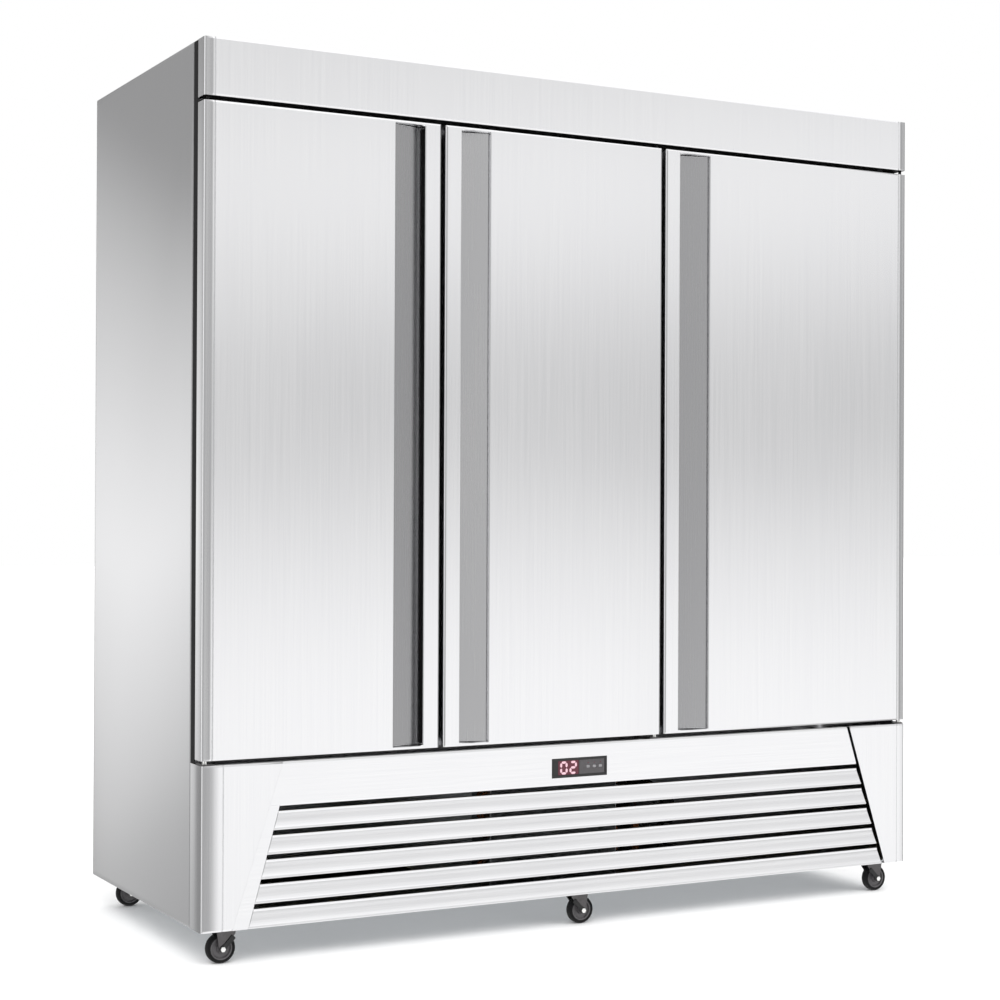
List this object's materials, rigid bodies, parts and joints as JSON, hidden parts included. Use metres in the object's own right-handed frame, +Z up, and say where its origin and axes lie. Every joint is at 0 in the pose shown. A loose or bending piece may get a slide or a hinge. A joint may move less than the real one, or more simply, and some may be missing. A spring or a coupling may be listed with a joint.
{
  "type": "reach-in refrigerator",
  "caption": "Upright stainless steel commercial refrigerator on casters: hinged doors with full-height recessed pulls over a louvred machine compartment.",
  "frame": {"origin": "on the floor, under the middle of the whole object", "axes": "+X to the right when facing the doors, +Y towards the back panel, +Z up; the doors face -Y"},
  "size_m": [2.04, 0.83, 2.124],
  "materials": {
    "steel": "brushed stainless steel, fine grain",
    "galvanised": "galvanised sheet, dull spangle",
    "foam": "foamed-in-place rigid insulation",
    "white_liner": "white coated aluminium, satin",
    "gasket": "grey vinyl, matte",
    "controller": "dark moulded plastic",
    "button": "grey moulded plastic",
    "display": "lit red digits behind a dark window",
    "dark_plastic": "moulded black plastic",
    "black_enamel": "black enamel",
    "coil": "thin stamped fins",
    "copper": "drawn copper tube",
    "lamp": "frosted lamp cover",
    "shelf_wire": "grey epoxy coated wire",
    "hinge_steel": "zinc plated steel",
    "caster_steel": "zinc plated stamped steel",
    "caster_wheel": "black rubber tread on a grey hub"
  },
  "bodies": {
    "cabinet": {"side_panel_left": "steel", "side_panel_right": "steel", "top_panel": "steel", "header_fascia": "steel", "grille_panel": "steel", "lower_panel_left": "steel", "lower_panel_right": "steel", "face_frame": "steel", "back_panel": "galvanised", "base_plate": "galvanised", "insulation_foam": "foam", "inner_liner": "white_liner", "evaporator_cover": "white_liner", "controller_housing": "controller", "compressor": "black_enamel", "condenser_coil": "coil", "shelf_1_1": "shelf_wire", "shelf_1_2": "shelf_wire", "shelf_1_3": "shelf_wire", "shelf_2_1": "shelf_wire", "shelf_2_2": "shelf_wire", "shelf_2_3": "shelf_wire", "shelf_3_1": "shelf_wire", "shelf_3_2": "shelf_wire", "shelf_3_3": "shelf_wire", "top_hinge_rail": "hinge_steel", "hinge_bracket_1": "hinge_steel", "hinge_bracket_2": "hinge_steel", "hinge_bracket_3": "hinge_steel"},
    "door_1": {"door_1_skin": "steel", "door_1_liner": "white_liner", "door_1_gasket": "gasket"},
    "door_2": {"door_2_skin": "steel", "door_2_liner": "white_liner", "door_2_gasket": "gasket"},
    "door_3": {"door_3_skin": "steel", "door_3_liner": "white_liner", "door_3_gasket": "gasket"},
    "controller_button_1": {"controller_button_1": "button"},
    "controller_button_2": {"controller_button_2": "button"},
    "controller_button_3": {"controller_button_3": "button"},
    "evaporator_fan_left": {"evaporator_fan_left": "dark_plastic"},
    "evaporator_fan_right": {"evaporator_fan_right": "dark_plastic"},
    "condenser_fan": {"condenser_fan": "black_enamel"},
    "caster_front_left_fork": {"caster_front_left_fork": "caster_steel"},
    "caster_front_left_wheel": {"caster_front_left_wheel": "caster_wheel"},
    "caster_front_left_brake": {"caster_front_left_brake": "black_enamel"},
    "caster_front_middle_fork": {"caster_front_middle_fork": "caster_steel"},
    "caster_front_middle_wheel": {"caster_front_middle_wheel": "caster_wheel"},
    "caster_front_middle_brake": {"caster_front_middle_brake": "black_enamel"},
    "caster_front_right_fork": {"caster_front_right_fork": "caster_steel"},
    "caster_front_right_wheel": {"caster_front_right_wheel": "caster_wheel"},
    "caster_front_right_brake": {"caster_front_right_brake": "black_enamel"},
    "caster_rear_left_fork": {"caster_rear_left_fork": "caster_steel"},
    "caster_rear_left_wheel": {"caster_rear_left_wheel": "caster_wheel"},
    "caster_rear_left_brake": {"caster_rear_left_brake": "black_enamel"},
    "caster_rear_middle_fork": {"caster_rear_middle_fork": "caster_steel"},
    "caster_rear_middle_wheel": {"caster_rear_middle_wheel": "caster_wheel"},
    "caster_rear_right_fork": {"caster_rear_right_fork": "caster_steel"},
    "caster_rear_right_wheel": {"caster_rear_right_wheel": "caster_wheel"}
  },
  "joints": [
    {"name": "door_1_swing", "type": "hinge", "parent": "cabinet", "child": "door_1", "pos_m": [-1.008, -0.403, 0.473], "axis": [0, 0, -1], "range_deg": [0, 110]},
    {"name": "door_2_swing", "type": "hinge", "parent": "cabinet", "child": "door_2", "pos_m": [0.2075, -0.403, 0.473], "axis": [0, 0, 1], "range_deg": [0, 110]},
    {"name": "door_3_swing", "type": "hinge", "parent": "cabinet", "child": "door_3", "pos_m": [1.008, -0.403, 0.473], "axis": [0, 0, 1], "range_deg": [0, 110]},
    {"name": "controller_button_1_press", "type": "slide", "parent": "cabinet", "child": "controller_button_1", "axis": [0, 1, 0], "range_m": [0, 0.0012], "stiffness_N_per_m": 400, "springref_m": -0.0005},
    {"name": "controller_button_2_press", "type": "slide", "parent": "cabinet", "child": "controller_button_2", "axis": [0, 1, 0], "range_m": [0, 0.0012], "stiffness_N_per_m": 400, "springref_m": -0.0005},
    {"name": "controller_button_3_press", "type": "slide", "parent": "cabinet", "child": "controller_button_3", "axis": [0, 1, 0], "range_m": [0, 0.0012], "stiffness_N_per_m": 400, "springref_m": -0.0005},
    {"name": "evaporator_fan_left_spin", "type": "hinge", "parent": "cabinet", "child": "evaporator_fan_left", "pos_m": [-0.32, 0.1546, 1.9841], "axis": [0, -1, 0], "continuous": true},
    {"name": "evaporator_fan_right_spin", "type": "hinge", "parent": "cabinet", "child": "evaporator_fan_right", "pos_m": [0.32, 0.1546, 1.9841], "axis": [0, -1, 0], "continuous": true},
    {"name": "condenser_fan_spin", "type": "hinge", "parent": "cabinet", "child": "condenser_fan", "pos_m": [0, -0.17, 0.2253], "axis": [0, -1, 0], "continuous": true},
    {"name": "caster_front_left_swivel", "type": "hinge", "parent": "cabinet", "child": "caster_front_left_fork", "pos_m": [-0.946, -0.365, 0.082], "axis": [0, 0, 1], "continuous": true},
    {"name": "caster_front_left_roll", "type": "hinge", "parent": "caster_front_left_fork", "child": "caster_front_left_wheel", "pos_m": [-0.955, -0.365, 0.035], "axis": [0, 1, 0], "continuous": true},
    {"name": "caster_front_left_brake_press", "type": "hinge", "parent": "caster_front_left_fork", "child": "caster_front_left_brake", "pos_m": [-0.955, -0.365, 0.035], "axis": [0, 1, 0], "range_deg": [0, 18]},
    {"name": "caster_front_middle_swivel", "type": "hinge", "parent": "cabinet", "child": "caster_front_middle_fork", "pos_m": [0, -0.365, 0.082], "axis": [0, 0, 1], "continuous": true},
    {"name": "caster_front_middle_roll", "type": "hinge", "parent": "caster_front_middle_fork", "child": "caster_front_middle_wheel", "pos_m": [0.009, -0.365, 0.035], "axis": [0, 1, 0], "continuous": true},
    {"name": "caster_front_middle_brake_press", "type": "hinge", "parent": "caster_front_middle_fork", "child": "caster_front_middle_brake", "pos_m": [0.009, -0.365, 0.035], "axis": [0, -1, 0], "range_deg": [0, 18]},
    {"name": "caster_front_right_swivel", "type": "hinge", "parent": "cabinet", "child": "caster_front_right_fork", "pos_m": [0.946, -0.365, 0.082], "axis": [0, 0, 1], "continuous": true},
    {"name": "caster_front_right_roll", "type": "hinge", "parent": "caster_front_right_fork", "child": "caster_front_right_wheel", "pos_m": [0.955, -0.365, 0.035], "axis": [0, 1, 0], "continuous": true},
    {"name": "caster_front_right_brake_press", "type": "hinge", "parent": "caster_front_right_fork", "child": "caster_front_right_brake", "pos_m": [0.955, -0.365, 0.035], "axis": [0, -1, 0], "range_deg": [0, 18]},
    {"name": "caster_rear_left_swivel", "type": "hinge", "parent": "cabinet", "child": "caster_rear_left_fork", "pos_m": [-0.946, 0.365, 0.082], "axis": [0, 0, 1], "continuous": true},
    {"name": "caster_rear_left_roll", "type": "hinge", "parent": "caster_rear_left_fork", "child": "caster_rear_left_wheel", "pos_m": [-0.937, 0.365, 0.035], "axis": [0, 1, 0], "continuous": true},
    {"name": "caster_rear_left_brake_press", "type": "hinge", "parent": "caster_rear_left_fork", "child": "caster_rear_left_brake", "pos_m": [-0.937, 0.365, 0.035], "axis": [0, -1, 0], "range_deg": [0, 18]},
    {"name": "caster_rear_middle_swivel", "type": "hinge", "parent": "cabinet", "child": "caster_rear_middle_fork", "pos_m": [0, 0.365, 0.082], "axis": [0, 0, 1], "continuous": true},
    {"name": "caster_rear_middle_roll", "type": "hinge", "parent": "caster_rear_middle_fork", "child": "caster_rear_middle_wheel", "pos_m": [0.009, 0.365, 0.035], "axis": [0, 1, 0], "continuous": true},
    {"name": "caster_rear_right_swivel", "type": "hinge", "parent": "cabinet", "child": "caster_rear_right_fork", "pos_m": [0.946, 0.365, 0.082], "axis": [0, 0, 1], "continuous": true},
    {"name": "caster_rear_right_roll", "type": "hinge", "parent": "caster_rear_right_fork", "child": "caster_rear_right_wheel", "pos_m": [0.955, 0.365, 0.035], "axis": [0, 1, 0], "continuous": true}
  ]
}
